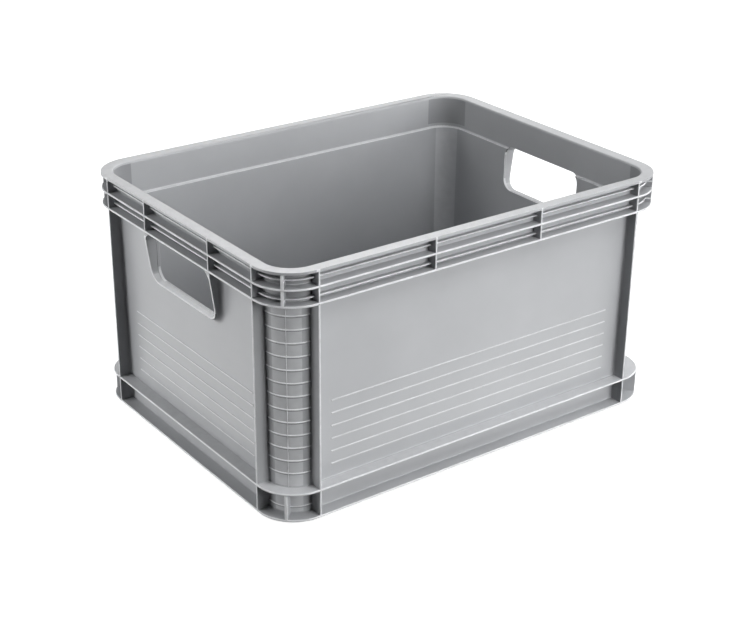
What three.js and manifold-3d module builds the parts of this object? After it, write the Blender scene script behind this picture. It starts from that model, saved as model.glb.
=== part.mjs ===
// Stacking crate with a 400 x 300 mm footprint, one polypropylene moulding.
// Each region of the moulding is a solid of its own, and neighbouring regions meet face to face.
// Millimetres, +Z up, origin at the centre of the base, +X along the long side.
// "Inset" is the distance inward from the 400 x 300 outline.
import * as THREE from 'three';
import { mergeVertices } from 'three/addons/utils/BufferGeometryUtils.js';
import Module from 'manifold-3d';

const wasm = await Module();
wasm.setup();

// Overall size
const LENGTH = 400;
const WIDTH = 300;
const CORNER_R = 34;
const ARC_STEPS = 12;

// Heights of the horizontal parts
const FOOT_H = 4;
const BOTTOM_FLANGE_TOP = 6;
const FLOOR_TOP = 6.4;
const BASE_FLANGE_Z = [27.6, 29.4];
const WALL_TOP = 185.4;
const LEDGE_Z = 186;
const LOWER_FLANGE_Z = [188, 189.8];
const LOWER_FIN_Z = [192.4, 193.8];
const MIDDLE_FLANGE_Z = [201.6, 203.4];
const UPPER_FIN_Z = [208, 209.4];
const RIM_Z = [214.8, 216.8];

// Insets of the walls: the lower wall leans inward toward its foot
const WALL_OUT_FOOT = 11.8;
const WALL_OUT_HEAD = 10.4;
const WALL_T = 2.4;
const BAND_OUT = 9;
const BAND_IN = 11;
const FIN_OUT = 5.2;
const BASE_FLANGE_IN = 11.6;
const RIM_ROUND = 2;
const RIM_ROUND_STEPS = 4;

// Locating ring under the base
const RING_OUT_TOP = 12.5;
const RING_OUT_FOOT = 13.2;
const RING_IN = 15.4;

// Upright ribs
const RIB_T = 1.6;
const TANGENT_RIB_X = LENGTH / 2 - 36.5;
const TANGENT_RIB_Y = WIDTH / 2 - 36.5;
const BAND_RIB_X = 54.2;
const BAND_RIB_Y = 50.2;
const CORNER_RIB_T = 2.4;
const MIDDLE_FLANGE_SLOT = 4.4;
const BASE_FLANGE_SLOT = 5.8;

// Raised lines on the walls and rings on the corner columns
const LINE_COUNT = 6;
const RING_COUNT = 13;
const LINE_FIRST_Z = 41.7;
const LINE_PITCH = 11.3;
const LINE_HALF_X = 146;
const LINE_HALF_Y = 94;
const LINE_H = 1.2;
const LINE_PROUD = 0.45;
const LINE_END_STEPS = 4;
const BASE_RING_Z = 11.6;

// Hand openings in the end walls
const GRIP_HALF_W = 50;
const GRIP_FLOOR_Z = 145.2;
const GRIP_R = 10;
const GRIP_TOP_R = 9;
const GRIP_STEPS = 6;
const GRIP_STEP = 0.4;
const COLLAR_T = 2;
const COLLAR_FULL_DEPTH_Z = 185;
const COLLAR_FOOT_INSET = 5.5;
const COLLAR_GAP = 0.02;

// How far a cutting solid runs past the face that it cuts
const OVERCUT = 1;

const coreX = LENGTH / 2 - CORNER_R;
const coreY = WIDTH / 2 - CORNER_R;
const cornerSigns = [[-1, -1], [1, -1], [1, 1], [-1, 1]];

// ---------- joining and cutting ----------

function toManifold(geometry) {
  const bare = geometry.clone();
  bare.deleteAttribute('normal');
  bare.deleteAttribute('uv');
  const merged = mergeVertices(bare, 1e-5);
  const vertProperties = new Float32Array(merged.attributes.position.array);
  const triVerts = new Uint32Array(merged.index.array);
  return new wasm.Manifold(new wasm.Mesh({ numProp: 3, vertProperties, triVerts }));
}

function fromManifold(solid) {
  const mesh = solid.getMesh();
  const geometry = new THREE.BufferGeometry();
  geometry.setAttribute('position', new THREE.BufferAttribute(mesh.vertProperties, 3));
  geometry.setIndex(new THREE.BufferAttribute(mesh.triVerts, 1));
  geometry.computeVertexNormals();
  return geometry;
}

function join(geometries) {
  return fromManifold(geometries.map(toManifold).reduce((a, b) => a.add(b)));
}

function cut(geometry, tools) {
  const body = toManifold(geometry);
  return fromManifold(tools.map(toManifold).reduce((a, b) => a.subtract(b), body));
}

// ---------- shapes ----------

// Points of the crate outline moved inward by an inset, anticlockwise from the front right corner.
function outline(inset) {
  const r = CORNER_R - inset;
  const points = [];
  const corners = [
    [coreX, -coreY, -90],
    [coreX, coreY, 0],
    [-coreX, coreY, 90],
    [-coreX, -coreY, 180],
  ];
  for (const [cx, cy, start] of corners) {
    for (let i = 0; i <= ARC_STEPS; i++) {
      const a = THREE.MathUtils.degToRad(start + (90 * i) / ARC_STEPS);
      points.push(new THREE.Vector2(cx + r * Math.cos(a), cy + r * Math.sin(a)));
    }
  }
  return points;
}

function extrudeUp(shape, z0, z1) {
  const geometry = new THREE.ExtrudeGeometry(shape, { depth: z1 - z0, bevelEnabled: false });
  geometry.translate(0, 0, z0);
  return geometry;
}

// Plan of a ring between two insets.
function ringPlan(outer, inner) {
  const shape = new THREE.Shape(outline(outer));
  shape.holes.push(new THREE.Path(outline(inner)));
  return shape;
}

// Flat ring between two insets.
function ringPlate(outer, inner, z0, z1) {
  return extrudeUp(ringPlan(outer, inner), z0, z1);
}

// Moves a point of a plan drawn at one inset to another inset.
function moveInset(position, i, from, to) {
  const x = position.getX(i);
  const y = position.getY(i);
  const cx = THREE.MathUtils.clamp(x, -coreX, coreX);
  const cy = THREE.MathUtils.clamp(y, -coreY, coreY);
  const k = (CORNER_R - to) / (CORNER_R - from);
  position.setXY(i, cx + (x - cx) * k, cy + (y - cy) * k);
}

// Solid from a plan with an outer and an inner edge, whose insets change level by level.
// levels: [z, outer inset, inner inset] from the bottom up.
function layered(planAt, levels) {
  const [, outer0, inner0] = levels[0];
  const steps = levels.length - 1;
  const settings = { depth: steps, steps, bevelEnabled: false };
  const geometry = new THREE.ExtrudeGeometry(planAt(outer0, inner0), settings);
  const position = geometry.attributes.position;
  const middle = (outer0 + inner0) / 2;
  for (let i = 0; i < position.count; i++) {
    const [z, outer, inner] = levels[Math.round(position.getZ(i))];
    const x = position.getX(i);
    const y = position.getY(i);
    const dx = x - THREE.MathUtils.clamp(x, -coreX, coreX);
    const dy = y - THREE.MathUtils.clamp(y, -coreY, coreY);
    const onInner = CORNER_R - Math.hypot(dx, dy) > middle;
    moveInset(position, i, onInner ? inner0 : outer0, onInner ? inner : outer);
    position.setZ(i, z);
  }
  return geometry;
}

// Plan of one corner between the tangent ribs, at the corner with positive X and Y.
// clear holds it back from the middle of those ribs.
function cornerPlan(outer, inner, clear = 0) {
  const arc = (inset, i) => {
    const a = THREE.MathUtils.degToRad((90 * i) / ARC_STEPS);
    const r = CORNER_R - inset;
    return new THREE.Vector2(coreX + r * Math.cos(a), coreY + r * Math.sin(a));
  };
  const points = [new THREE.Vector2(LENGTH / 2 - outer, TANGENT_RIB_Y + clear)];
  for (let i = 0; i <= ARC_STEPS; i++) points.push(arc(outer, i));
  points.push(new THREE.Vector2(TANGENT_RIB_X + clear, WIDTH / 2 - outer));
  points.push(new THREE.Vector2(TANGENT_RIB_X + clear, WIDTH / 2 - inner));
  for (let i = ARC_STEPS; i >= 0; i--) points.push(arc(inner, i));
  points.push(new THREE.Vector2(LENGTH / 2 - inner, TANGENT_RIB_Y + clear));
  return new THREE.Shape(points);
}

// Exact quarter turns about Z.
function turn(geometry, quarters) {
  const c = [1, 0, -1, 0][quarters];
  const s = [0, 1, 0, -1][quarters];
  const matrix = new THREE.Matrix4().set(c, -s, 0, 0, s, c, 0, 0, 0, 0, 1, 0, 0, 0, 0, 1);
  return geometry.clone().applyMatrix4(matrix);
}

// Mirrors a solid to the corner with the given signs, keeping its faces outward.
function toCorner(geometry, sx, sy) {
  const out = geometry.clone().applyMatrix4(new THREE.Matrix4().makeScale(sx, sy, 1));
  if (sx * sy > 0) return out;
  const flat = out.index ? out.toNonIndexed() : out;
  const p = flat.attributes.position;
  const a = new THREE.Vector3();
  const b = new THREE.Vector3();
  for (let i = 0; i < p.count; i += 3) {
    a.fromBufferAttribute(p, i);
    b.fromBufferAttribute(p, i + 1);
    p.setXYZ(i, b.x, b.y, b.z);
    p.setXYZ(i + 1, a.x, a.y, a.z);
  }
  flat.computeVertexNormals();
  return flat;
}

function rectSection(inset0, inset1, z0, z1) {
  return [[inset0, z0], [inset1, z0], [inset1, z1], [inset0, z1]];
}

// Upright slab from a section drawn as [inset, z] points, running along a wall.
// It is drawn at the -Y side; reach is the distance from the centre to that side.
function slab(section, reach, x0, x1) {
  const shape = new THREE.Shape(section.map(([inset, z]) => new THREE.Vector2(inset, z)));
  const geometry = new THREE.ExtrudeGeometry(shape, { depth: x1 - x0, bevelEnabled: false });
  const place = new THREE.Matrix4().set(0, 0, 1, x0, 1, 0, 0, -reach, 0, 1, 0, 0, 0, 0, 0, 1);
  return geometry.applyMatrix4(place);
}

// Inset of the lower wall's outer face at a height.
function wallInset(z) {
  const k = (z - BOTTOM_FLANGE_TOP) / (WALL_TOP - BOTTOM_FLANGE_TOP);
  return WALL_OUT_FOOT + (WALL_OUT_HEAD - WALL_OUT_FOOT) * k;
}

// ---------- flanges, fins and rim ----------

const tangentX = [-TANGENT_RIB_X, TANGENT_RIB_X];
const tangentY = [-TANGENT_RIB_Y, TANGENT_RIB_Y];
const bandX = [-TANGENT_RIB_X, -BAND_RIB_X, BAND_RIB_X, TANGENT_RIB_X];
const bandY = [-TANGENT_RIB_Y, -BAND_RIB_Y, BAND_RIB_Y, TANGENT_RIB_Y];

// Slots through the inner half of a flange for the ribs of one side, drawn at the -Y side.
function ribSlots(positions, reach, inset0, inset1, [z0, z1]) {
  const section = rectSection(inset0, inset1, z0 - OVERCUT, z1 + OVERCUT);
  return positions.map((at) => slab(section, reach, at - RIB_T / 2, at + RIB_T / 2));
}

// The same slots on all four sides.
function slotsAllRound(alongX, alongY, inset0, inset1, zs) {
  const long = ribSlots(alongX, WIDTH / 2, inset0, inset1, zs);
  const short = ribSlots(alongY, LENGTH / 2, inset0, inset1, zs);
  return [
    ...long.map((g) => turn(g, 0)),
    ...long.map((g) => turn(g, 2)),
    ...short.map((g) => turn(g, 1)),
    ...short.map((g) => turn(g, 3)),
  ];
}

// Upright plate along a corner diagonal, from an [inset, z] section.
function diagonalPlate(section, sx, sy) {
  const plate = slab(section, CORNER_R, -CORNER_RIB_T / 2, CORNER_RIB_T / 2);
  plate.rotateZ(Math.atan2(sy, sx) + Math.PI / 2);
  return plate.translate(sx * coreX, sy * coreY, 0);
}

function bottomFlange() {
  return ringPlate(0, RING_OUT_TOP, FOOT_H, BOTTOM_FLANGE_TOP);
}

// Floor inside the bottom flange. It carries the walls on its edge and rises a little inside them.
function floorPanel() {
  const plate = extrudeUp(new THREE.Shape(outline(RING_OUT_TOP)), FOOT_H, BOTTOM_FLANGE_TOP);
  const inside = new THREE.Shape(outline(WALL_OUT_FOOT + WALL_T));
  return join([plate, extrudeUp(inside, FOOT_H, FLOOR_TOP)]);
}

function baseFlange() {
  const plate = ringPlate(0, BASE_FLANGE_IN, ...BASE_FLANGE_Z);
  const slotEnd = BASE_FLANGE_IN + OVERCUT;
  return cut(plate, slotsAllRound(tangentX, tangentY, BASE_FLANGE_SLOT, slotEnd, BASE_FLANGE_Z));
}

// Flange under the band: it carries the band wall and makes the ledge inside the crate.
function lowerFlange() {
  const ledgeIn = WALL_OUT_HEAD + WALL_T;
  const haunch = layered(ringPlan, [
    [WALL_TOP, WALL_OUT_HEAD, BAND_IN],
    [LOWER_FLANGE_Z[0], BAND_OUT, BAND_IN],
  ]);
  const ledge = ringPlate(BAND_IN, ledgeIn, WALL_TOP, LEDGE_Z);
  const plate = ringPlate(0, BAND_IN, ...LOWER_FLANGE_Z);
  const openings = [turn(gripOpening(), 1), turn(gripOpening(), 3)];
  return cut(join([haunch, ledge, plate]), openings);
}

function middleFlange() {
  const [z0, z1] = MIDDLE_FLANGE_Z;
  const slotEnd = BAND_OUT + OVERCUT;
  const slots = slotsAllRound(bandX, bandY, MIDDLE_FLANGE_SLOT, slotEnd, MIDDLE_FLANGE_Z);
  const section = rectSection(MIDDLE_FLANGE_SLOT, slotEnd, z0 - OVERCUT, z1 + OVERCUT);
  const cornerSlots = cornerSigns.map(([sx, sy]) => diagonalPlate(section, sx, sy));
  return cut(ringPlate(0, BAND_OUT, z0, z1), [...slots, ...cornerSlots]);
}

function topRim() {
  const levels = [];
  for (let i = 0; i <= RIM_ROUND_STEPS; i++) {
    const a = ((Math.PI / 2) * i) / RIM_ROUND_STEPS;
    levels.push([RIM_Z[0] + RIM_ROUND * Math.sin(a), 0, BAND_IN - RIM_ROUND + RIM_ROUND * Math.cos(a)]);
  }
  return layered(ringPlan, levels);
}

// ---------- walls, columns and ribs ----------

// Outline of a hand opening in the plane of its wall, grown by a distance.
function gripShape(grow, topR) {
  const half = GRIP_HALF_W + grow;
  const z0 = GRIP_FLOOR_Z - grow;
  const z1 = LOWER_FLANGE_Z[0];
  const footR = GRIP_R + grow;
  const points = [];
  const corners = [
    [half, z0, footR, -90],
    [half, z1, topR, 0],
    [-half, z1, topR, 90],
    [-half, z0, footR, 180],
  ];
  for (const [u, z, r, start] of corners) {
    const cu = u - Math.sign(u) * r;
    const cz = z === z0 ? z + r : z - r;
    const steps = r > 0 ? GRIP_STEPS : 0;
    for (let i = 0; i <= steps; i++) {
      const a = THREE.MathUtils.degToRad(start + (90 * i) / GRIP_STEPS);
      points.push(new THREE.Vector2(cu + r * Math.cos(a), cz + r * Math.sin(a)));
    }
  }
  return points;
}

// Solid from a shape drawn on a wall, between two insets, at the -Y side.
function through(points, reach, inset0, inset1) {
  const shape = new THREE.Shape(points);
  const geometry = new THREE.ExtrudeGeometry(shape, { depth: inset1 - inset0, bevelEnabled: false });
  const place = new THREE.Matrix4().set(1, 0, 0, 0, 0, 0, -1, inset1 - reach, 0, 1, 0, 0, 0, 0, 0, 1);
  return geometry.applyMatrix4(place);
}

function gripOpening() {
  const depth = WALL_OUT_FOOT + WALL_T + OVERCUT;
  return through(gripShape(0, GRIP_TOP_R), LENGTH / 2, -OVERCUT, depth);
}

// One raised line with round ends.
function raisedLine(half, z, reach) {
  const r = LINE_H / 2;
  const points = [];
  for (const [u, start] of [[half - r, -90], [r - half, 90]]) {
    for (let i = 0; i <= LINE_END_STEPS; i++) {
      const a = THREE.MathUtils.degToRad(start + (180 * i) / LINE_END_STEPS);
      points.push(new THREE.Vector2(u + r * Math.cos(a), z + r * Math.sin(a)));
    }
  }
  const face = wallInset(z);
  return through(points, reach, face - LINE_PROUD, face + WALL_T / 2);
}

function lineHeights(count) {
  return Array.from({ length: count }, (_, i) => LINE_FIRST_Z + LINE_PITCH * i);
}

// Lower wall panel between two tangent ribs, drawn at the -Y side.
function wallPanel(reach, halfLength, lineHalf) {
  const section = [
    [WALL_OUT_FOOT, BOTTOM_FLANGE_TOP],
    [WALL_OUT_FOOT + WALL_T, BOTTOM_FLANGE_TOP],
    [WALL_OUT_HEAD + WALL_T, WALL_TOP],
    [WALL_OUT_HEAD, WALL_TOP],
  ];
  const panel = slab(section, reach, -halfLength, halfLength);
  return join([panel, ...lineHeights(LINE_COUNT).map((z) => raisedLine(lineHalf, z, reach))]);
}

// Rounded corner of the lower wall with its raised rings, at the corner with positive X and Y.
function cornerColumn() {
  const shell = layered(cornerPlan, [
    [BOTTOM_FLANGE_TOP, WALL_OUT_FOOT, WALL_OUT_FOOT + WALL_T],
    [WALL_TOP, WALL_OUT_HEAD, WALL_OUT_HEAD + WALL_T],
  ]);
  const ring = (z) => {
    const face = wallInset(z);
    const plan = cornerPlan(face - LINE_PROUD, face + WALL_T / 2, RIB_T / 2);
    return extrudeUp(plan, z - LINE_H / 2, z + LINE_H / 2);
  };
  return join([shell, ...[BASE_RING_Z, ...lineHeights(RING_COUNT)].map(ring)]);
}

// Diagonal rib between the two base flanges, notched for the ring on the column.
function baseRib(sx, sy) {
  const plate = diagonalPlate([
    [0, BOTTOM_FLANGE_TOP],
    [WALL_OUT_FOOT, BOTTOM_FLANGE_TOP],
    [wallInset(BASE_FLANGE_Z[0]), BASE_FLANGE_Z[0]],
    [0, BASE_FLANGE_Z[0]],
  ], sx, sy);
  const face = wallInset(BASE_RING_Z);
  const low = BASE_RING_Z - LINE_H / 2;
  const high = BASE_RING_Z + LINE_H / 2;
  return cut(plate, [ringPlate(face - LINE_PROUD, face + OVERCUT, low, high)]);
}

// Full-depth rib from the bottom flange to the lower flange, drawn at the -Y side.
// Its outer edge is notched for the base flange.
function uprightRib(reach, at) {
  const section = [
    [0, BOTTOM_FLANGE_TOP],
    [WALL_OUT_FOOT, BOTTOM_FLANGE_TOP],
    [WALL_OUT_HEAD, WALL_TOP],
    [BAND_OUT, LOWER_FLANGE_Z[0]],
    [0, LOWER_FLANGE_Z[0]],
    [0, BASE_FLANGE_Z[1]],
    [BASE_FLANGE_SLOT, BASE_FLANGE_Z[1]],
    [BASE_FLANGE_SLOT, BASE_FLANGE_Z[0]],
    [0, BASE_FLANGE_Z[0]],
  ];
  return slab(section, reach, at - RIB_T / 2, at + RIB_T / 2);
}

// Band wall of one side with its ribs, drawn at the -Y side.
function bandWall(reach, halfLength, ribs) {
  const z0 = LOWER_FLANGE_Z[1];
  const z1 = RIM_Z[0];
  const wall = slab(rectSection(BAND_OUT, BAND_IN, z0, z1), reach, -halfLength, halfLength);
  const rib = rectSection(0, BAND_OUT, z0, z1);
  const plates = ribs.map((at) => slab(rib, reach, at - RIB_T / 2, at + RIB_T / 2));
  const run = halfLength + RIB_T;
  const slots = [
    slab(rectSection(-OVERCUT, MIDDLE_FLANGE_SLOT, ...MIDDLE_FLANGE_Z), reach, -run, run),
    slab(rectSection(FIN_OUT, BAND_OUT, ...LOWER_FIN_Z), reach, -run, run),
    slab(rectSection(FIN_OUT, BAND_OUT, ...UPPER_FIN_Z), reach, -run, run),
  ];
  return cut(join([wall, ...plates]), slots);
}

// Band wall round one corner with its diagonal rib.
function bandCorner() {
  const z0 = LOWER_FLANGE_Z[1];
  const z1 = RIM_Z[0];
  const wall = extrudeUp(cornerPlan(BAND_OUT, BAND_IN), z0, z1);
  const rib = diagonalPlate(rectSection(0, (BAND_OUT + BAND_IN) / 2, z0, z1), 1, 1);
  const slots = [
    ringPlate(-OVERCUT, MIDDLE_FLANGE_SLOT, ...MIDDLE_FLANGE_Z),
    ringPlate(FIN_OUT, BAND_OUT, ...LOWER_FIN_Z),
    ringPlate(FIN_OUT, BAND_OUT, ...UPPER_FIN_Z),
  ];
  return cut(join([wall, rib]), slots);
}

// Collar round three sides of a hand opening; its front edge slopes back toward the foot.
function gripCollar() {
  const reach = LENGTH / 2;
  const outer = through(gripShape(GRIP_STEP + COLLAR_T, 0), reach, 0, WALL_OUT_FOOT);
  const inner = through(gripShape(GRIP_STEP, GRIP_TOP_R), reach, -OVERCUT, WALL_OUT_FOOT + OVERCUT);
  const run = GRIP_HALF_W + GRIP_R;
  const low = GRIP_FLOOR_Z - GRIP_R;
  const high = LOWER_FLANGE_Z[0];
  const slope = COLLAR_FOOT_INSET / (COLLAR_FULL_DEPTH_Z - GRIP_FLOOR_Z);
  const front = [
    [-OVERCUT, low],
    [slope * (COLLAR_FULL_DEPTH_Z - low), low],
    [0, COLLAR_FULL_DEPTH_Z],
    [-OVERCUT, COLLAR_FULL_DEPTH_Z],
  ];
  const deep = WALL_OUT_FOOT + OVERCUT;
  const back = [
    [wallInset(low) - COLLAR_GAP, low],
    [WALL_OUT_HEAD - COLLAR_GAP, WALL_TOP],
    [BAND_OUT - COLLAR_GAP, high],
    [BAND_OUT - COLLAR_GAP, high + OVERCUT],
    [deep, high + OVERCUT],
    [deep, low],
  ];
  return cut(outer, [inner, slab(front, reach, -run, run), slab(back, reach, -run, run)]);
}

// ---------- the crate ----------

const crate = new THREE.Group();
crate.name = 'stacking_crate';

function add(name, geometry) {
  const material = new THREE.MeshStandardMaterial({ color: 0xb9bbbd, roughness: 0.45, metalness: 0 });
  material.name = name + '_plastic';
  const mesh = new THREE.Mesh(geometry, material);
  mesh.name = name;
  crate.add(mesh);
}

const stackingRing = layered(ringPlan, [
  [0, RING_OUT_FOOT, RING_IN],
  [FOOT_H, RING_OUT_TOP, RING_IN],
]);
add('stacking_ring', stackingRing);
add('floor_panel', floorPanel());
add('bottom_flange', bottomFlange());
add('base_flange', baseFlange());
add('lower_flange', lowerFlange());
add('lower_fin', ringPlate(FIN_OUT, BAND_OUT, ...LOWER_FIN_Z));
add('middle_flange', middleFlange());
add('upper_fin', ringPlate(FIN_OUT, BAND_OUT, ...UPPER_FIN_Z));
add('top_rim', topRim());

const longWall = wallPanel(WIDTH / 2, TANGENT_RIB_X, LINE_HALF_X);
add('front_wall', turn(longWall, 0));
add('rear_wall', turn(longWall, 2));

const endWall = cut(wallPanel(LENGTH / 2, TANGENT_RIB_Y, LINE_HALF_Y), [gripOpening()]);
add('right_end_wall', turn(endWall, 1));
add('left_end_wall', turn(endWall, 3));
add('right_hand_grip', turn(gripCollar(), 1));
add('left_hand_grip', turn(gripCollar(), 3));

const longBand = bandWall(WIDTH / 2, TANGENT_RIB_X, bandX);
const endBand = bandWall(LENGTH / 2, TANGENT_RIB_Y, bandY);
add('front_band_wall', turn(longBand, 0));
add('rear_band_wall', turn(longBand, 2));
add('right_band_wall', turn(endBand, 1));
add('left_band_wall', turn(endBand, 3));

const column = cornerColumn();
const bandBend = bandCorner();
for (const [sx, sy] of cornerSigns) {
  const corner = (sy < 0 ? 'front' : 'rear') + (sx < 0 ? '_left' : '_right');
  add(corner + '_column', toCorner(column, sx, sy));
  add(corner + '_band_corner', toCorner(bandBend, sx, sy));
  add(corner + '_base_rib', baseRib(sx, sy));
}

const ribSides = [
  ['front', WIDTH / 2, TANGENT_RIB_X, 'left', 'right'],
  ['right', LENGTH / 2, TANGENT_RIB_Y, 'front', 'rear'],
  ['rear', WIDTH / 2, TANGENT_RIB_X, 'right', 'left'],
  ['left', LENGTH / 2, TANGENT_RIB_Y, 'rear', 'front'],
];
ribSides.forEach(([side, reach, at, first, second], quarters) => {
  add(`${side}_rib_${first}`, turn(uprightRib(reach, -at), quarters));
  add(`${side}_rib_${second}`, turn(uprightRib(reach, at), quarters));
});

export default crate;
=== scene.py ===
"""Looks of a light grey stacking crate, moulded in one piece of polypropylene.

Each CAD node is replaced by a piece of the same shape and size whose free edges are rounded, and whose
inner corners carry the fillets that the mould leaves. Metres, +Z up, +X along the long side.
"""

import math

import bmesh
import bpy
from mathutils import Matrix, Vector
from mathutils.bvhtree import BVHTree


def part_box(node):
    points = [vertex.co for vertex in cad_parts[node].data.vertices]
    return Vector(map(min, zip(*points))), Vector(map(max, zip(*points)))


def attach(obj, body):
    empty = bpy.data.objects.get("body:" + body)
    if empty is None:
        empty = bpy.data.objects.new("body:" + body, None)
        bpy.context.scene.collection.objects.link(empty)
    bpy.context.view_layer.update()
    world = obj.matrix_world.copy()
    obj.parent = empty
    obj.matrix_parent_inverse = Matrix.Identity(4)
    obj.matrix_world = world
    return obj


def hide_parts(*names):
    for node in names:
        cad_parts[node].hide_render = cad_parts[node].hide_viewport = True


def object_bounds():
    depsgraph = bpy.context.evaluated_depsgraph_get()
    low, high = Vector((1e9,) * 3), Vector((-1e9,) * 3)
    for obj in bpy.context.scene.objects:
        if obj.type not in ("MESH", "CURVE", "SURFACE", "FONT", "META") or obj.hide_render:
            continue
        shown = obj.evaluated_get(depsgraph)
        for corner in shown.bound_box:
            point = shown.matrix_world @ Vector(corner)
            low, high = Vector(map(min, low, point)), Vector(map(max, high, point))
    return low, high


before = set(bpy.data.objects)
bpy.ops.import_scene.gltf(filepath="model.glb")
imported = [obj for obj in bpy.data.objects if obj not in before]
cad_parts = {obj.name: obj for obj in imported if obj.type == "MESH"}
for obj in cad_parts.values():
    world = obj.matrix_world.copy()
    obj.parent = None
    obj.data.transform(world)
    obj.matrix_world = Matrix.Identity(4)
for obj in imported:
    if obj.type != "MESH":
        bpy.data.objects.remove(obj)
CAD_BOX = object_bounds()

MM = 0.001
LOW, HIGH = CAD_BOX
LENGTH = HIGH.x - LOW.x
WIDTH = HIGH.y - LOW.y

# Sizes that the CAD boxes don't give, in metres
CORNER_R = 34 * MM
BAND_OUT = 9 * MM
BAND_IN = 11 * MM
WALL_T = 2.4 * MM
WALL_LEAN = 1.4 * MM
LEDGE_RISE = 0.6 * MM
LEDGE_GAP = 47 * MM
GRIP_CORNER_R = 12.4 * MM
ARC_STEPS = 16

# Rounded free edges
LINE_EDGE_R = 0.4 * MM
PLATE_EDGE_R = 0.6 * MM
EDGE_STEPS = 3
FREE_ANGLE = math.radians(40)
SHARP_ANGLE = math.radians(50)
SHADING_WEIGHT = 80

# Tolerances of the mesh work
FLAT_ANGLE = math.radians(0.5)
WELD = 0.002 * MM
SLIVER = 0.1 * MM
GRIP_SLIVER = 0.5 * MM
PROBE = 0.12 * MM
NUDGE = 0.001 * MM
EMBED = 0.04 * MM
MOST_HITS = 64

# Painted light on the faces: above 0 toward the painted highlight colour, below 0 toward the painted
# shade colour
PAINTED_LIGHT_LAYER = "painted_light"
# Painted highlights: raised lines, column rings, ledge fillet, plate edges, level tops and column
# crowns
LINE_HIGHLIGHT = 0.55
END_LINE_HIGHLIGHT = 0.65
RING_HIGHLIGHT = 1.0
LEDGE_HIGHLIGHT = 0.4
PLATE_EDGE_HIGHLIGHT = 0.75
TOP_PAINTED_LIGHT = 0.33
COLUMN_CROWN_PAINTED_LIGHT = 0.32
# Painted shade: faces that look down, strips under column rings, upright faces of band corners and the
# sides of ribs
UNDERSIDE_SHADE = -1.0
RING_SHADOW = -0.4
BAND_CORNER_SHADE = -0.45
RIB_SIDE_SHADE = -0.3

# Faces that count as narrow, level, facing down, or on the crown of a column
NARROW = 1.2 * MM
LEVEL = 0.6
DOWNWARD = -0.3
COLUMN_CROWN = 0.75
# Height of the painted shadow strip under each column ring
RING_SHADOW_HEIGHT = 0.9 * MM

# Fillets and beads
FILLET_STEPS = 8
FLANGE_FILLET = 1.0 * MM
VALLEY_FILLET = 2.0 * MM
WALL_RIB_FILLET = 1.4 * MM
SMALL_FILLET = 0.9 * MM
TINY_FILLET = 0.6 * MM
LEDGE_FILLET = 1.4 * MM
FLOOR_FILLET = 3.5 * MM
COLLAR_FILLET = 4.5 * MM
BEAD_R = 0.35 * MM
BEAD_STEPS = 6

# Camera, in the row frame
CAMERA_AT = Vector((-0.755683, -1.020450, 0.668309))
CAMERA_HEADING = math.radians(-36.576)
CAMERA_PITCH = math.radians(25.085)
CAMERA_ROLL = math.radians(0.61)
CAMERA_LENS = 74.594
CAMERA_SENSOR = 36.0
CAMERA_CLIP = (0.05, 50)


# ---------- where the corners and walls are, read from the frame ----------

def low(node):
    """Lowest corner of a node's box."""
    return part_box(node)[0]


def high(node):
    """Highest corner of a node's box."""
    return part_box(node)[1]


def rib_faces(node, axis, edge):
    """Sorted places, along axis, of the rib faces that reach the crate's outline on one band wall."""
    across = 1 - axis
    found = set()
    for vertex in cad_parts[node].data.vertices:
        if abs(vertex.co[across] - edge) < WELD:
            found.add(round(vertex.co[axis], 6))
    return sorted(found)


CORE = Vector((LENGTH / 2 - CORNER_R, WIDTH / 2 - CORNER_R))
FLANGE_TOP = high("bottom_flange").z
WALL_FOOT_IN = high("front_wall").y - LOW.y - WALL_T
WALL_HEAD_IN = WALL_FOOT_IN - WALL_LEAN
WALL_TOP = high("front_left_column").z
LEDGE_Z = WALL_TOP + LEDGE_RISE
BASE_FLANGE = (low("base_flange").z, high("base_flange").z)
LOWER_FLANGE = (high("front_rib_left").z, high("lower_flange").z)
FLOOR_TOP = high("floor_panel").z
GRIP_HALF = high("left_hand_grip").y
GRIP_FOOT = low("left_hand_grip").z
GRIP_CORE = GRIP_HALF - GRIP_CORNER_R
MIDDLE_FLANGE = (low("middle_flange").z, high("middle_flange").z)
RIM_UNDER = low("top_rim").z
BAND_PLATES = ("lower_fin", "middle_flange", "upper_fin")
BAND_LEVELS = sorted(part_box(plate)[end].z for plate in BAND_PLATES for end in (0, 1))

# Plates whose long edges run past ribs
SPLIT_NODES = ("bottom_flange", "base_flange", "lower_flange", "top_rim", *BAND_PLATES)

# Quarter turns from the front side, and distance of the outline from the middle
SIDES = {
    "front": (0, WIDTH / 2),
    "right": (1, LENGTH / 2),
    "rear": (2, WIDTH / 2),
    "left": (3, LENGTH / 2),
}
# Signs of X and Y at each corner
CORNERS = {
    "front_left": (-1, -1),
    "front_right": (1, -1),
    "rear_right": (1, 1),
    "rear_left": (-1, 1),
}
FACES_X = rib_faces("front_band_wall", 0, LOW.y)
FACES_Y = rib_faces("right_band_wall", 1, HIGH.x)


def wall_inset(z):
    """Inset of the lower wall's outer face at a height."""
    share = (z - FLANGE_TOP) / (WALL_TOP - FLANGE_TOP)
    return WALL_FOOT_IN + (WALL_HEAD_IN - WALL_FOOT_IN) * share


# ---------- rounding the free edges of a CAD node ----------

TREES = {}
for node_name, node_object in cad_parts.items():
    tree = BVHTree.FromPolygons(
        [v.co.copy() for v in node_object.data.vertices],
        [tuple(p.vertices) for p in node_object.data.polygons],
    )
    lo_corner, hi_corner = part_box(node_name)
    TREES[node_name] = (tree, lo_corner, hi_corner)

# A direction that runs along no face or edge of the crate
RAY = Vector((0.2113, 0.3217, 0.9229)).normalized()


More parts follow.
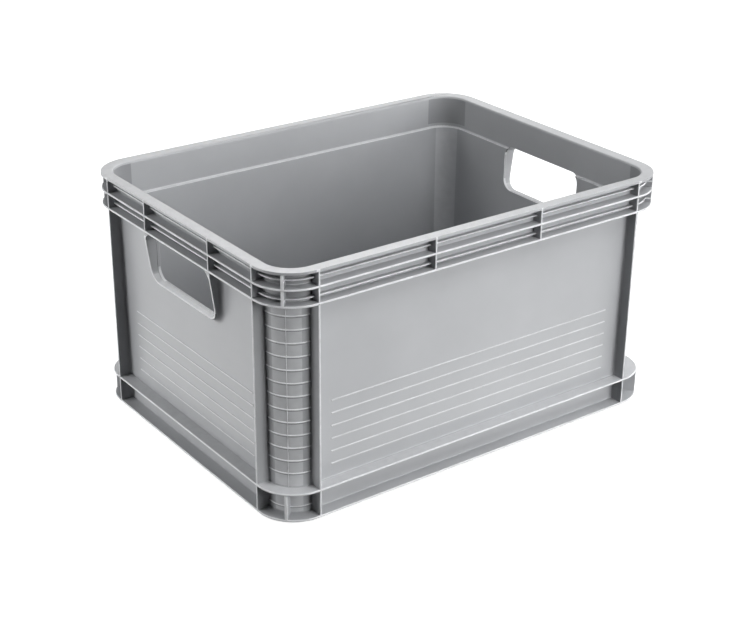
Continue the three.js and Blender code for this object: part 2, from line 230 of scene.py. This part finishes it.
def inside(tree, point):
    """True where a ray from the point leaves the closed solid an odd number of times."""
    hits = 0
    start = point.copy()
    while hits < MOST_HITS:
        place = tree.ray_cast(start, RAY)[0]
        if place is None:
            break
        hits += 1
        start = place + RAY * NUDGE
    return hits % 2 == 1


def in_plastic(point, but):
    """True where any node other than one holds the point."""
    for name, (tree, lo_corner, hi_corner) in TREES.items():
        if name == but:
            continue
        near = all(lo_corner[i] - NUDGE <= point[i] <= hi_corner[i] + NUDGE for i in range(3))
        if near and inside(tree, point):
            return True
    return False


def is_free(edge, node):
    """True for an outward edge that no neighbouring node touches."""
    if len(edge.link_faces) != 2 or not edge.is_convex:
        return False
    one, two = (f.normal for f in edge.link_faces)
    if one.angle(two, 0.0) < FREE_ANGLE:
        return False
    middle = (edge.verts[0].co + edge.verts[1].co) / 2
    out = (one + two).normalized()
    probes = (
        middle + out * PROBE,
        middle + one * PROBE - two * (PROBE / 2),
        middle + two * PROBE - one * (PROBE / 2),
    )
    return not any(in_plastic(p, node) for p in probes)


def split_at(bm, places, axis):
    """Cuts the faces along planes across an axis, so that edges end at the ribs."""
    normal = Vector((1, 0, 0)) if axis == 0 else Vector((0, 1, 0))
    for place in places:
        geometry = bm.verts[:] + bm.edges[:] + bm.faces[:]
        bmesh.ops.bisect_plane(bm, geom=geometry, dist=WELD, plane_co=normal * place, plane_no=normal)


def split_levels(bm, heights):
    """Cuts the faces at heights."""
    for z in heights:
        geometry = bm.verts[:] + bm.edges[:] + bm.faces[:]
        bmesh.ops.bisect_plane(bm, geom=geometry, dist=WELD, plane_co=(0, 0, z), plane_no=(0, 0, 1))


def edge_radius(node):
    """Radius of a node's free edges: lower walls and columns carry only the thin raised lines."""
    thin = node.endswith(("_wall", "_column")) and "band" not in node
    return LINE_EDGE_R if thin else PLATE_EDGE_R


def face_painted_light(node, face):
    """Painted light on a node's broad faces: a painted highlight on level tops and on the crown of
    columns, and painted shade in recesses: on upright faces of band corners and on the sides of ribs.
    """
    upright = abs(face.normal.z) < LEVEL
    if node.endswith("_column"):
        crown = abs(abs(face.normal.x) - abs(face.normal.y)) < COLUMN_CROWN
        return COLUMN_CROWN_PAINTED_LIGHT if crown and upright else 0.0
    if node.endswith("_band_corner"):
        return BAND_CORNER_SHADE if upright else 0.0
    if "_rib_" in node:
        across = face.normal.x if side_of(node) in ("front", "rear") else face.normal.y
        return RIB_SIDE_SHADE if abs(across) > LEVEL else 0.0
    if face.normal.z > LEVEL:
        return TOP_PAINTED_LIGHT if node.endswith(("_rim", "base_flange", "_hand_grip")) else 0.0
    return 0.0


def edge_highlight(node):
    """Painted highlight on a node's rounded edges."""
    if node.endswith("_column"):
        return RING_HIGHLIGHT
    if node.endswith("_end_wall"):
        return END_LINE_HIGHLIGHT
    return LINE_HIGHLIGHT if node in ("front_wall", "rear_wall") else PLATE_EDGE_HIGHLIGHT


def ring_shadow_strips(bm):
    """Heights of the painted shadow strips right under a column's rings, cut out of its faces."""
    found = set()
    for face in bm.faces:
        if face.normal.z < -LEVEL and is_narrow(face):
            found.add(round(face.calc_center_median().z, 6))
    split_levels(bm, [z - RING_SHADOW_HEIGHT for z in sorted(found)])
    bm.normal_update()
    return [(z - RING_SHADOW_HEIGHT, z) for z in found]


def in_ring_shadow(face, strips):
    """True for an upright face that lies in one of the painted shadow strips."""
    z = face.calc_center_median().z
    return abs(face.normal.z) < LEVEL and any(bottom < z < top for bottom, top in strips)


def is_narrow(face):
    """True for a long face that is less than about NARROW wide."""
    return face.calc_area() < NARROW * face.calc_perimeter() / 2


def rounded(bm, node):
    """Merges a node's triangles into whole faces and rounds its free edges."""
    bmesh.ops.remove_doubles(bm, verts=bm.verts, dist=WELD)
    bmesh.ops.dissolve_limit(bm, angle_limit=FLAT_ANGLE, verts=bm.verts, edges=bm.edges)
    if node in SPLIT_NODES:
        split_at(bm, FACES_X, 0)
        split_at(bm, FACES_Y, 1)
    if node.endswith("_band_corner"):
        split_levels(bm, BAND_LEVELS)
    sliver = GRIP_SLIVER if node.endswith("_hand_grip") else SLIVER
    bmesh.ops.dissolve_degenerate(bm, dist=sliver, edges=bm.edges)
    bm.normal_update()
    strips = ring_shadow_strips(bm) if node.endswith("_column") else []
    painted_light_values = bm.faces.layers.float.new(PAINTED_LIGHT_LAYER)
    free = [e for e in bm.edges if is_free(e, node)]
    if not free:
        return
    made = bmesh.ops.bevel(
        bm, geom=free, offset=edge_radius(node), offset_type="OFFSET", segments=EDGE_STEPS,
        profile=0.5, affect="EDGES", clamp_overlap=True,
    )
    bevels = set(made["faces"])
    bm.normal_update()
    # Painted light on each face: painted shadow in the strips under column rings, painted highlight on
    # rounded edges and the narrow faces beside them, painted shade where these face down, and the
    # broad faces' painted light or shade
    for face in bm.faces:
        beside = any(other in bevels for edge in face.edges for other in edge.link_faces)
        if in_ring_shadow(face, strips):
            face[painted_light_values] = RING_SHADOW
        elif face in bevels or (is_narrow(face) and beside):
            face[painted_light_values] = edge_highlight(node) if face.normal.z > DOWNWARD else UNDERSIDE_SHADE
        else:
            face[painted_light_values] = face_painted_light(node, face)


# ---------- fillets ----------

def sweep(bm, section, stations, closed=False, painted_light=0.0):
    """Solid strip of a section. stations: (origin, unit way u, unit way v) along the strip's line."""
    rings = []
    for origin, a, b in stations:
        rings.append([bm.verts.new(origin + a * u + b * v) for u, v in section])
    following = rings[1:] + rings[:1] if closed else rings[1:]
    faces = []
    count = len(section)
    for first, second in zip(rings, following):
        for i in range(count):
            j = (i + 1) % count
            faces.append(bm.faces.new((first[i], first[j], second[j], second[i])))
    if not closed:
        faces.append(bm.faces.new(rings[0]))
        faces.append(bm.faces.new(reversed(rings[-1])))
    bmesh.ops.recalc_face_normals(bm, faces=faces)
    painted_light_values = bm.faces.layers.float[PAINTED_LIGHT_LAYER]
    for face in faces:
        face[painted_light_values] = painted_light


def fillet(bm, stations, radius, closed=False, painted_light=0.0):
    """Hollow quarter-round strip in an inner corner, between the two ways of its stations."""
    section = [(-EMBED, -EMBED), (radius, -EMBED)]
    for i in range(FILLET_STEPS + 1):
        t = math.pi / 2 * i / FILLET_STEPS
        section.append((radius * (1 - math.sin(t)), radius * (1 - math.cos(t))))
    section.append((-EMBED, radius))
    sweep(bm, section, stations, closed, painted_light)


def bead(bm, stations, radius):
    """Raised half-round strip on a surface, coloured with the raised lines' painted highlight. The
    second way of its stations leaves the surface.
    """
    section = [(-radius, -EMBED)]
    for i in range(BEAD_STEPS + 1):
        t = math.pi * i / BEAD_STEPS
        section.append((-radius * math.cos(t), radius * math.sin(t)))
    section.append((radius, -EMBED))
    sweep(bm, section, stations, painted_light=LINE_HIGHLIGHT)


def on_side(side, along, inset, z):
    """Point on a side. along runs as X does on the front side, and inset is the distance in."""
    quarter, reach = SIDES[side]
    return Matrix.Rotation(quarter * math.pi / 2, 3, "Z") @ Vector((along, inset - reach, z))


def way(side, along, inward, up):
    """Unit direction on a side."""
    quarter, _ = SIDES[side]
    return (Matrix.Rotation(quarter * math.pi / 2, 3, "Z") @ Vector((along, inward, up))).normalized()


def side_fillet(bm, side, ends, inset, z, up, radius):
    """Fillet along a side, where a level plate meets an upright wall. up is 1 or -1."""
    a = way(side, 0, -1, 0)
    b = way(side, 0, 0, up)
    fillet(bm, [(on_side(side, s, inset, z), a, b) for s in ends], radius)


def upright_fillet(bm, side, at, toward, inset_at, heights, radius):
    """Fillet up the corner between a wall and a rib. toward is 1 or -1, away from the rib."""
    a = way(side, toward, 0, 0)
    b = way(side, 0, -1, 0)
    fillet(bm, [(on_side(side, at, inset_at(z), z), a, b) for z in heights], radius)


def corner_line(signs, inset, x_face, y_face):
    """Plan of a corner at one inset, from the rib on the end side to the rib on the long side."""
    sx, sy = signs
    plan = [(Vector((CORE.x + CORNER_R - inset, y_face)), Vector((1, 0)))]
    for i in range(ARC_STEPS + 1):
        t = math.pi / 2 * i / ARC_STEPS
        out = Vector((math.cos(t), math.sin(t)))
        plan.append((CORE + out * (CORNER_R - inset), out))
    plan.append((Vector((x_face, CORE.y + CORNER_R - inset)), Vector((0, 1))))
    return [
        (Vector((p.x * sx, p.y * sy)), Vector((n.x * sx, n.y * sy)))
        for p, n in plan
    ]


def half_ring(inset, sy, gap):
    """Plan of the outline at an inset, round the half at one sign of Y, gap short of the X axis."""
    reach = LENGTH / 2 - inset
    plan = [(Vector((reach, gap)), Vector((1, 0)))]
    for quarter, sx in enumerate((1, -1)):
        for i in range(ARC_STEPS + 1):
            t = math.pi / 2 * (quarter + i / ARC_STEPS)
            out = Vector((math.cos(t), math.sin(t)))
            plan.append((Vector((CORE.x * sx, CORE.y)) + out * (CORNER_R - inset), out))
    plan.append((Vector((-reach, gap)), Vector((-1, 0))))
    return [(Vector((p.x, p.y * sy)), Vector((n.x, n.y * sy))) for p, n in plan]


def inner_stations(line, z):
    """Stations at the foot of a wall's inner face, along a plan line at one height."""
    return [
        (Vector((p.x, p.y, z)), Vector((-n.x, -n.y, 0)), Vector((0, 0, 1)))
        for p, n in line
    ]


def corner_fillet(bm, signs, inset, z, up, radius, x_face, y_face):
    """Fillet round a corner, where a level plate meets an upright wall."""
    line = corner_line(signs, inset, x_face, y_face)
    stations = [
        (Vector((p.x, p.y, z)), Vector((n.x, n.y, 0)), Vector((0, 0, up)))
        for p, n in line
    ]
    fillet(bm, stations, radius)


# ---------- pieces ----------

def side_of(node):
    """Side that a node's name starts with."""
    return node.split("_")[0]


def bays(faces):
    """Gaps between neighbouring ribs, from the sorted places of the rib faces."""
    return list(zip(faces[1:-1:2], faces[2:-1:2]))


def side_faces(side):
    """Sorted places of the rib faces along a side."""
    return FACES_X if side in ("front", "rear") else FACES_Y


def wall_fillets(bm, side):
    """Fillets of a lower wall against its ribs and flanges."""
    faces = side_faces(side)
    left, right = faces[1], faces[-2]
    low_band = (FLANGE_TOP, BASE_FLANGE[0])
    high_band = (BASE_FLANGE[1], WALL_TOP)
    ends = (left - EMBED, right + EMBED)
    side_fillet(bm, side, ends, WALL_FOOT_IN, FLANGE_TOP, 1, SMALL_FILLET)
    side_fillet(bm, side, ends, wall_inset(BASE_FLANGE[0]), BASE_FLANGE[0], -1, TINY_FILLET)
    side_fillet(bm, side, ends, wall_inset(BASE_FLANGE[1]), BASE_FLANGE[1], 1, FLANGE_FILLET)
    for at, toward in ((left, 1), (right, -1)):
        upright_fillet(bm, side, at, toward, wall_inset, low_band, SMALL_FILLET)
        upright_fillet(bm, side, at, toward, wall_inset, high_band, WALL_RIB_FILLET)


def column_fillets(bm, signs):
    """Fillets of a corner column against its ribs and flanges."""
    sx, sy = signs
    x_face, y_face = FACES_X[-1], FACES_Y[-1]
    args = (x_face - EMBED, y_face - EMBED)
    corner_fillet(bm, signs, WALL_FOOT_IN, FLANGE_TOP, 1, SMALL_FILLET, *args)
    corner_fillet(bm, signs, wall_inset(BASE_FLANGE[0]), BASE_FLANGE[0], -1, TINY_FILLET, *args)
    corner_fillet(bm, signs, wall_inset(BASE_FLANGE[1]), BASE_FLANGE[1], 1, SMALL_FILLET, *args)
    for heights, radius in (
        ((FLANGE_TOP, BASE_FLANGE[0]), SMALL_FILLET),
        ((BASE_FLANGE[1], WALL_TOP), VALLEY_FILLET),
    ):
        out_y, out_x = Vector((0, sy, 0)), Vector((sx, 0, 0))
        along_long = [
            (Vector((sx * x_face, sy * (WIDTH / 2 - wall_inset(z)), z)), out_x, out_y)
            for z in heights
        ]
        along_end = [
            (Vector((sx * (LENGTH / 2 - wall_inset(z)), sy * y_face, z)), out_y, out_x)
            for z in heights
        ]
        fillet(bm, along_long, radius)
        fillet(bm, along_end, radius)
    parting_line(bm, signs)


def parting_line(bm, signs):
    """Thin raised line up the middle of a corner column, where two slides of the mould meet."""
    out = Vector((signs[0], signs[1])).normalized()
    across, away = Vector((-out.y, out.x, 0)), Vector((out.x, out.y, 0))
    stations = []
    for z in (BASE_FLANGE[1], WALL_TOP):
        place = Vector((CORE.x * signs[0], CORE.y * signs[1])) + out * (CORNER_R - wall_inset(z))
        stations.append((Vector((place.x, place.y, z)), across, away))
    bead(bm, stations, BEAD_R)


def band_fillets(bm, side):
    """Fillets of a band wall against its ribs, flanges and rim."""
    z0, z1, z2, z3 = LOWER_FLANGE[1], MIDDLE_FLANGE[0], MIDDLE_FLANGE[1], RIM_UNDER
    for left, right in bays(side_faces(side)):
        ends = (left - EMBED, right + EMBED)
        side_fillet(bm, side, ends, BAND_OUT, z0, 1, TINY_FILLET)
        side_fillet(bm, side, ends, BAND_OUT, z1, -1, TINY_FILLET)
        side_fillet(bm, side, ends, BAND_OUT, z2, 1, SMALL_FILLET)
        side_fillet(bm, side, ends, BAND_OUT, z3, -1, TINY_FILLET)
        for at, toward in ((left, 1), (right, -1)):
            for heights in ((z0, z1), (z2, z3)):
                upright_fillet(bm, side, at, toward, lambda z: BAND_OUT, heights, TINY_FILLET)


def band_corner_fillets(bm, signs):
    """Fillets of a band corner against its flanges and rim."""
    x_face, y_face = FACES_X[-1] - EMBED, FACES_Y[-1] - EMBED
    for z, up, radius in (
        (LOWER_FLANGE[1], 1, TINY_FILLET),
        (MIDDLE_FLANGE[0], -1, TINY_FILLET),
        (MIDDLE_FLANGE[1], 1, SMALL_FILLET),
        (RIM_UNDER, -1, TINY_FILLET),
    ):
        corner_fillet(bm, signs, BAND_OUT, z, up, radius, x_face, y_face)


def ledge_fillet(bm):
    """Fillet between the ledge and the band wall inside the crate, open at the hand openings, coloured
    with a painted highlight.
    """
    for sy in (-1, 1):
        line = half_ring(BAND_IN, sy, LEDGE_GAP)
        fillet(bm, inner_stations(line, LEDGE_Z), LEDGE_FILLET, painted_light=LEDGE_HIGHLIGHT)


def flange_root_fillets(bm):
    """Fillets under the lower flange, between the upright ribs and clear of the hand grips."""
    for side in SIDES:
        faces = side_faces(side)
        left, right = faces[1] - EMBED, faces[-2] + EMBED
        spans = [(left, right)]
        if side in ("left", "right"):
            spans = [(left, -GRIP_HALF), (GRIP_HALF, right)]
        for ends in spans:
            side_fillet(bm, side, ends, BAND_OUT, LOWER_FLANGE[0], -1, SMALL_FILLET)
    for signs in CORNERS.values():
        args = (FACES_X[-1] - EMBED, FACES_Y[-1] - EMBED)
        corner_fillet(bm, signs, BAND_OUT, LOWER_FLANGE[0], -1, SMALL_FILLET, *args)


def floor_fillet(bm):
    """Fillet all round the inside, between the floor and the walls."""
    inner = WALL_FOOT_IN + WALL_T
    line = half_ring(inner, 1, 0)[1:-1] + [(p, n) for p, n in reversed(half_ring(inner, -1, 0)[1:-1])]
    fillet(bm, inner_stations(line, FLOOR_TOP), FLOOR_FILLET, closed=True)


def grip_fillet(bm, side):
    """Fillet between an end wall and its hand grip, down one outer side and up the other."""
    plan = [(-GRIP_HALF, WALL_TOP, -1, 0)]
    for quarter, core in ((2, -GRIP_CORE), (3, GRIP_CORE)):
        for i in range(ARC_STEPS + 1):
            t = math.pi / 2 * (quarter + i / ARC_STEPS)
            du, dz = math.cos(t), math.sin(t)
            height = GRIP_FOOT + GRIP_CORNER_R * (1 + dz)
            plan.append((core + GRIP_CORNER_R * du, height, du, dz))
    plan.append((GRIP_HALF, WALL_TOP, 1, 0))
    stations = [
        (on_side(side, u, wall_inset(z), z), way(side, du, 0, dz), way(side, 0, -1, 0))
        for u, z, du, dz in plan
    ]
    fillet(bm, stations, COLLAR_FILLET)


def fillets_of(bm, node):
    """Adds the fillets that belong to a node."""
    for corner, signs in CORNERS.items():
        if node == corner + "_column":
            column_fillets(bm, signs)
        if node == corner + "_band_corner":
            band_corner_fillets(bm, signs)
    if node in ("front_wall", "rear_wall", "left_end_wall", "right_end_wall"):
        wall_fillets(bm, side_of(node))
    if node.endswith("_band_wall"):
        band_fillets(bm, side_of(node))
    if node.endswith("_hand_grip"):
        grip_fillet(bm, side_of(node))
    if node == "lower_flange":
        ledge_fillet(bm)
        flange_root_fillets(bm)
    if node == "floor_panel":
        floor_fillet(bm)


def moulded(node, material):
    """Visible piece for one node: the CAD shape with rounded free edges and its fillets."""
    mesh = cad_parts[node].data.copy()
    mesh.name = node + "_moulded"
    bm = bmesh.new()
    bm.from_mesh(mesh)
    rounded(bm, node)
    fillets_of(bm, node)
    for face in bm.faces:
        face.smooth = True
    bm.normal_update()
    for edge in bm.edges:
        edge.smooth = not edge.is_manifold or edge.calc_face_angle(0.0) < SHARP_ANGLE
    mesh.clear_geometry()
    bm.to_mesh(mesh)
    bm.free()
    piece = bpy.data.objects.new(node + "_moulded", mesh)
    bpy.context.scene.collection.objects.link(piece)
    mesh.materials.clear()
    mesh.materials.append(material)
    weighted = piece.modifiers.new("even_normals", "WEIGHTED_NORMAL")
    weighted.keep_sharp = True
    weighted.weight = SHADING_WEIGHT
    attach(piece, "root")
    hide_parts(node)


# ---------- material ----------

FACE_DARK = (0.398, 0.406, 0.420, 1)
FACE_LIGHT = (0.428, 0.437, 0.452, 1)
# Colours of the painted highlight and of the painted shade, mixed in by the painted-light layer
HIGHLIGHT_COLOUR = (0.840, 0.850, 0.865, 1)
SHADE_COLOUR = (0.130, 0.133, 0.137, 1)
REFRACTIVE_INDEX = 1.49
ROUGHNESS = (0.33, 0.43)
CLOUD_SCALE = 18
CLOUD_SPAN = (0.3, 0.7)
MOTTLE_SCALE = 140
MOTTLE_SPAN = (0.3, 0.6)
LEAST_MOTTLE = 0.7
GRAIN_SCALE = 1400
GRAIN_STRENGTH = 0.10
GRAIN_DEPTH = 0.05 * MM
SINK_SCALE = 22
SINK_STRETCH = 0.12
SINK_STRENGTH = 0.35
SINK_DEPTH = 0.12 * MM


def noise(nodes, links, place, scale, detail):
    """Noise texture in the crate's own frame."""
    texture = nodes.new("ShaderNodeTexNoise")
    texture.inputs["Scale"].default_value = scale
    texture.inputs["Detail"].default_value = detail
    links.new(place, texture.inputs["Vector"])
    return texture.outputs["Fac"]


def mix(nodes, links, factor, first, second):
    """Mix of a linked colour toward a plain one."""
    node = nodes.new("ShaderNodeMix")
    node.data_type = "RGBA"
    node.inputs["B"].default_value = second
    links.new(factor, node.inputs["Factor"])
    links.new(first, node.inputs["A"])
    return node.outputs["Result"]


def bump(nodes, links, height, strength, depth):
    """Bump from a height."""
    node = nodes.new("ShaderNodeBump")
    node.inputs["Strength"].default_value = strength
    node.inputs["Distance"].default_value = depth
    links.new(height, node.inputs["Height"])
    return node


def plastic():
    """Satin light grey polypropylene with a fine grain, with painted highlights on its edges and tops
    and painted shade in its recesses.
    """
    material = bpy.data.materials.new("moulded_polypropylene")
    material.use_nodes = True
    nodes, links = material.node_tree.nodes, material.node_tree.links
    shader = nodes["Principled BSDF"]
    shader.inputs["IOR"].default_value = REFRACTIVE_INDEX
    place = nodes.new("ShaderNodeTexCoord").outputs["Object"]
    cloud = noise(nodes, links, place, CLOUD_SCALE, 4)
    mottle = noise(nodes, links, place, MOTTLE_SCALE, 5)
    grain = noise(nodes, links, place, GRAIN_SCALE, 3)

    tint = nodes.new("ShaderNodeValToRGB")
    for stop, position, colour in zip(tint.color_ramp.elements, CLOUD_SPAN, (FACE_DARK, FACE_LIGHT)):
        stop.position = position
        stop.color = colour
    links.new(cloud, tint.inputs["Fac"])

    # Painted light: above 0 mixes toward the painted highlight colour, broken up at random by the
    # mottle, and below 0 toward the painted shade colour
    painted_light_values = nodes.new("ShaderNodeAttribute")
    painted_light_values.attribute_name = PAINTED_LIGHT_LAYER
    amount = nodes.new("ShaderNodeMapRange")
    amount.inputs["From Min"].default_value, amount.inputs["From Max"].default_value = MOTTLE_SPAN
    amount.inputs["To Min"].default_value = LEAST_MOTTLE
    links.new(mottle, amount.inputs["Value"])
    highlight_share = nodes.new("ShaderNodeMath")
    highlight_share.operation = "MULTIPLY"
    links.new(painted_light_values.outputs["Fac"], highlight_share.inputs[0])
    links.new(amount.outputs["Result"], highlight_share.inputs[1])
    shade_share = nodes.new("ShaderNodeMath")
    shade_share.operation = "MULTIPLY"
    shade_share.inputs[1].default_value = -1.0
    links.new(painted_light_values.outputs["Fac"], shade_share.inputs[0])
    highlighted = mix(nodes, links, highlight_share.outputs["Value"], tint.outputs["Color"], HIGHLIGHT_COLOUR)
    colour = mix(nodes, links, shade_share.outputs["Value"], highlighted, SHADE_COLOUR)
    links.new(colour, shader.inputs["Base Color"])

    rough = nodes.new("ShaderNodeMapRange")
    rough.inputs["To Min"].default_value, rough.inputs["To Max"].default_value = ROUGHNESS
    links.new(cloud, rough.inputs["Value"])
    links.new(rough.outputs["Result"], shader.inputs["Roughness"])

    stretched = nodes.new("ShaderNodeMapping")
    stretched.inputs["Scale"].default_value = (SINK_STRETCH, SINK_STRETCH, 1)
    links.new(place, stretched.inputs["Vector"])
    sinks = nodes.new("ShaderNodeTexWave")
    sinks.wave_type = "BANDS"
    sinks.bands_direction = "Z"
    sinks.inputs["Scale"].default_value = SINK_SCALE
    sinks.inputs["Distortion"].default_value = 1.2
    sinks.inputs["Detail"].default_value = 2
    sinks.inputs["Detail Scale"].default_value = 0.6
    links.new(stretched.outputs["Vector"], sinks.inputs["Vector"])

    wavy = bump(nodes, links, sinks.outputs["Fac"], SINK_STRENGTH, SINK_DEPTH)
    grainy = bump(nodes, links, grain, GRAIN_STRENGTH, GRAIN_DEPTH)
    links.new(wavy.outputs["Normal"], grainy.inputs["Normal"])
    links.new(grainy.outputs["Normal"], shader.inputs["Normal"])
    return material


# ---------- stage ----------

# White sweep, in metres: level radius, curve radius and height
SWEEP_R = 3.0
SWEEP_CURVE = 1.5
SWEEP_H = 6.0
SWEEP_STEPS = 8
SWEEP_SIDES = 64
PAPER_COLOUR = (0.35, 0.35, 0.35, 1)
PAPER_ROUGHNESS = 0.9
PAPER_GLOW = 0.93

LIGHT_DISTANCE = 1.7
LIGHT_SIZE = 0.8
# Soft panels round the crate: name, azimuth and elevation in degrees, power in watts
LIGHTS = (
    ("front_right", 15, 15, 20.8),
    ("front_top", 15, 60, 11.0),
    ("right", 75, 15, 15.5),
    ("front_bounce", 45, -35, 7.0),
    ("left", -105, -5, 12.0),
    ("left_high", -120, 35, 9.8),
    ("rear_left", -150, -5, 5.4),
    ("rear_left_bounce", -150, -35, 4.2),
    ("rear_right", 135, 35, 3.4),
    ("rear", 150, 35, 6.0),
)


def camera():
    """Camera at the photo's angle."""
    data = bpy.data.cameras.new("camera")
    data.lens = CAMERA_LENS
    data.sensor_width = CAMERA_SENSOR
    data.clip_start, data.clip_end = CAMERA_CLIP
    body = bpy.data.objects.new("camera", data)
    bpy.context.scene.collection.objects.link(body)
    turn = Matrix.Rotation(CAMERA_HEADING, 4, "Z")
    tilt = Matrix.Rotation(math.pi / 2 - CAMERA_PITCH, 4, "X")
    roll = Matrix.Rotation(CAMERA_ROLL, 4, "Z")
    body.matrix_world = Matrix.Translation(CAMERA_AT) @ turn @ tilt @ roll
    bpy.context.scene.camera = body


def floor():
    """White paper sweep: level under the crate, and curving up to an upright wall all round."""
    profile = [(0.0, 0.0)]
    for i in range(SWEEP_STEPS + 1):
        t = math.pi / 2 * i / SWEEP_STEPS
        profile.append((SWEEP_R + SWEEP_CURVE * math.sin(t), SWEEP_CURVE * (1 - math.cos(t))))
    profile.append((SWEEP_R + SWEEP_CURVE, SWEEP_H))
    bm = bmesh.new()
    start = [bm.verts.new((r, 0, LOW.z + z)) for r, z in profile]
    edges = [bm.edges.new(pair) for pair in zip(start, start[1:])]
    bmesh.ops.spin(
        bm, geom=start + edges, cent=(0, 0, 0), axis=(0, 0, 1), angle=2 * math.pi, steps=SWEEP_SIDES,
        use_merge=True,
    )
    bmesh.ops.remove_doubles(bm, verts=bm.verts, dist=WELD)
    for face in bm.faces:
        face.smooth = True
    mesh = bpy.data.meshes.new("floor")
    bm.to_mesh(mesh)
    bm.free()
    body = bpy.data.objects.new("floor", mesh)
    bpy.context.scene.collection.objects.link(body)
    material = bpy.data.materials.new("floor_paper")
    material.use_nodes = True
    shader = material.node_tree.nodes["Principled BSDF"]
    shader.inputs["Base Color"].default_value = PAPER_COLOUR
    shader.inputs["Roughness"].default_value = PAPER_ROUGHNESS
    shader.inputs["Emission Color"].default_value = (1, 1, 1, 1)
    shader.inputs["Emission Strength"].default_value = PAPER_GLOW
    mesh.materials.append(material)
    body.visible_diffuse = False
    body.visible_glossy = False
    body.visible_shadow = False


def panel(name, azimuth, elevation, power):
    """Soft square light that looks at the crate's middle."""
    data = bpy.data.lights.new(name, "AREA")
    data.shape = "SQUARE"
    data.size = LIGHT_SIZE
    data.energy = power
    body = bpy.data.objects.new(name, data)
    bpy.context.scene.collection.objects.link(body)
    a, e = math.radians(azimuth), math.radians(elevation)
    back = Vector((math.sin(a) * math.cos(e), -math.cos(a) * math.cos(e), math.sin(e)))
    centre = (LOW + HIGH) / 2
    body.location = centre + back * LIGHT_DISTANCE
    body.rotation_euler = back.to_track_quat("Z", "Y").to_euler()
    body.visible_camera = False


def dark_world():
    """World that gives no light, so that only the panels light the crate."""
    scene = bpy.context.scene
    scene.world = bpy.data.worlds.new("studio")
    scene.world.use_nodes = True
    scene.world.node_tree.nodes["Background"].inputs["Strength"].default_value = 0.0


PLASTIC = plastic()
for cad_node in sorted(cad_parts):
    moulded(cad_node, PLASTIC)
camera()
floor()
dark_world()
for light_name, azimuth, elevation, power in LIGHTS:
    panel(light_name, azimuth, elevation, power)

bpy.context.scene.view_settings.view_transform = "Standard"
bpy.context.scene.view_settings.look = "None"
